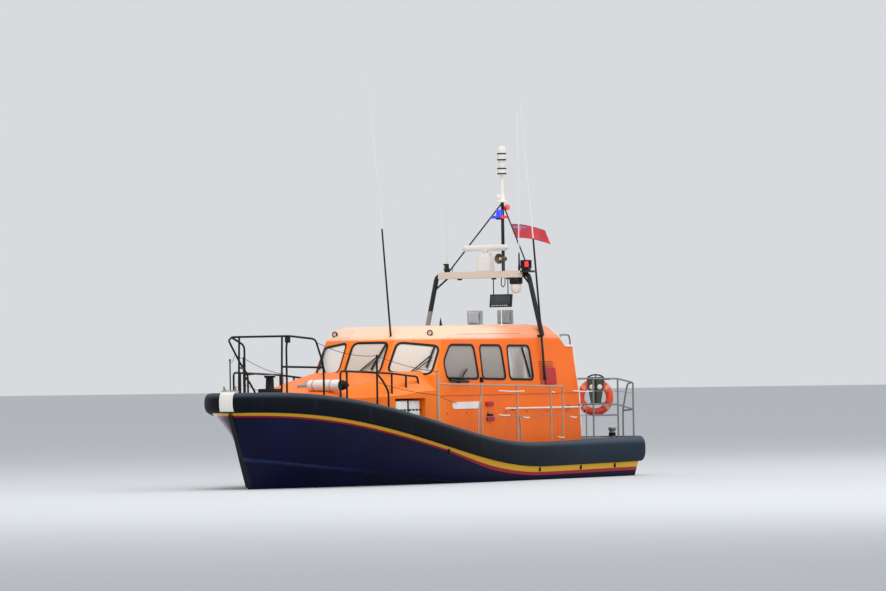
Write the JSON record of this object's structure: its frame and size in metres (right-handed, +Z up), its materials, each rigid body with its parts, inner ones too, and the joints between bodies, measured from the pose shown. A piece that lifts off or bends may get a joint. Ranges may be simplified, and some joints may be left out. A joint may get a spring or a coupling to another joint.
{
  "type": "waterjet lifeboat",
  "caption": "Self-righting waterjet lifeboat with a dark flared hull, rubber fender, orange deckhouse, open upper helm, radar gantry and twin steering jets.",
  "frame": {"origin": "amidships on the centreline, at the static waterline", "axes": "+X forward, +Y to port, +Z up"},
  "size_m": [13.6603, 4.54, 9.6908],
  "materials": {
    "orange": "glossy orange enamel",
    "steel": "stainless steel",
    "blue": "blue lens",
    "white": "off-white enamel",
    "fender": "matt dark rubber sheath",
    "seat": "dark grey upholstery",
    "buffer": "white air-filled fender",
    "grey": "grey enamel",
    "flag_cloth": "red cloth",
    "black": "satin black paint",
    "cream": "cream enamel",
    "navy": "glossy dark navy hull enamel",
    "lifebuoy": "orange foam plastic",
    "alloy": "cast aluminium",
    "red": "red",
    "glass": "clear toughened glass",
    "green": "green"
  },
  "bodies": {
    "boat": {"aft_ladder": "steel", "blue_beacon": "blue", "bow_fairlead": "white", "bow_fender": "fender", "cabin_seats": "seat", "deck_buffer": "buffer", "deckhouse": "orange", "dome_camera": "white", "engines": "grey", "flag": "flag_cloth", "fore_whip": "black", "foredeck_trunk": "orange", "gantry": "cream", "helm_console": "seat", "helm_display": "black", "hull": "navy", "lifebuoy": "lifebuoy", "lifebuoy_holder": "black", "loudhailer": "cream", "mast": "black", "mast_whip": "white", "masthead_lights": "white", "port_fender": "fender", "port_grab_rail": "black", "port_guard_rail": "steel", "port_jet": "alloy", "port_liferaft": "white", "port_quarter_bitt": "steel", "port_roof_rail": "grey", "port_side_light": "red", "port_stern_rail": "steel", "port_whip": "black", "port_windows": "glass", "pulpit": "black", "starboard_fender": "fender", "starboard_grab_rail": "black", "starboard_guard_rail": "steel", "starboard_jet": "alloy", "starboard_liferaft": "white", "starboard_quarter_bitt": "steel", "starboard_roof_rail": "grey", "starboard_side_light": "green", "starboard_stern_rail": "steel", "starboard_windows": "glass", "stem_guard": "black", "stern_fender": "fender", "towing_bollard": "steel", "upper_cockpit": "cream", "upper_console": "cream", "upper_seat": "seat", "windlass": "steel", "windscreen": "glass"},
    "radar": {"radar_scanner": "white"},
    "door": {"aft_door": "orange"},
    "fore_hatch": {"foredeck_hatch": "grey"},
    "engine_lid": {"engine_hatch": "orange"},
    "port_nozzle": {"port_nozzle": "alloy"},
    "starboard_nozzle": {"starboard_nozzle": "alloy"},
    "port_bucket": {"port_bucket": "alloy"},
    "starboard_bucket": {"starboard_bucket": "alloy"}
  },
  "joints": [
    {"name": "radar_turn", "type": "hinge", "parent": "boat", "child": "radar", "pos_m": [-3.69, 0, 5.05], "axis": [0, 0, 1], "continuous": true},
    {"name": "aft_door_hinge", "type": "hinge", "parent": "boat", "child": "door", "pos_m": [-4.98837, 0.336, 1.01108], "axis": [0.0877, 0, 0.9962], "range_deg": [-110, 0]},
    {"name": "foredeck_hatch_hinge", "type": "hinge", "parent": "boat", "child": "fore_hatch", "pos_m": [2.96, 0, 2.256], "axis": [0, -1, 0], "range_deg": [0, 90]},
    {"name": "engine_hatch_hinge", "type": "hinge", "parent": "boat", "child": "engine_lid", "pos_m": [-6.06, 0, 0.9174], "axis": [0, -1, 0], "range_deg": [0, 85]},
    {"name": "port_nozzle_steer", "type": "hinge", "parent": "boat", "child": "port_nozzle", "pos_m": [-6.54, 0.62, -0.44], "axis": [0, 0, 1], "range_deg": [-27, 27]},
    {"name": "starboard_nozzle_steer", "type": "hinge", "parent": "boat", "child": "starboard_nozzle", "pos_m": [-6.54, -0.62, -0.44], "axis": [0, 0, 1], "range_deg": [-27, 27]},
    {"name": "port_bucket_tilt", "type": "hinge", "parent": "boat", "child": "port_bucket", "pos_m": [-6.45, 0.62, -0.44], "axis": [0, -1, 0], "range_deg": [0, 45]},
    {"name": "starboard_bucket_tilt", "type": "hinge", "parent": "boat", "child": "starboard_bucket", "pos_m": [-6.45, -0.62, -0.44], "axis": [0, -1, 0], "range_deg": [0, 45]}
  ],
  "couplings": [
    {"joint": "starboard_nozzle_steer", "follows": "port_nozzle_steer", "ratio": 1}
  ]
}
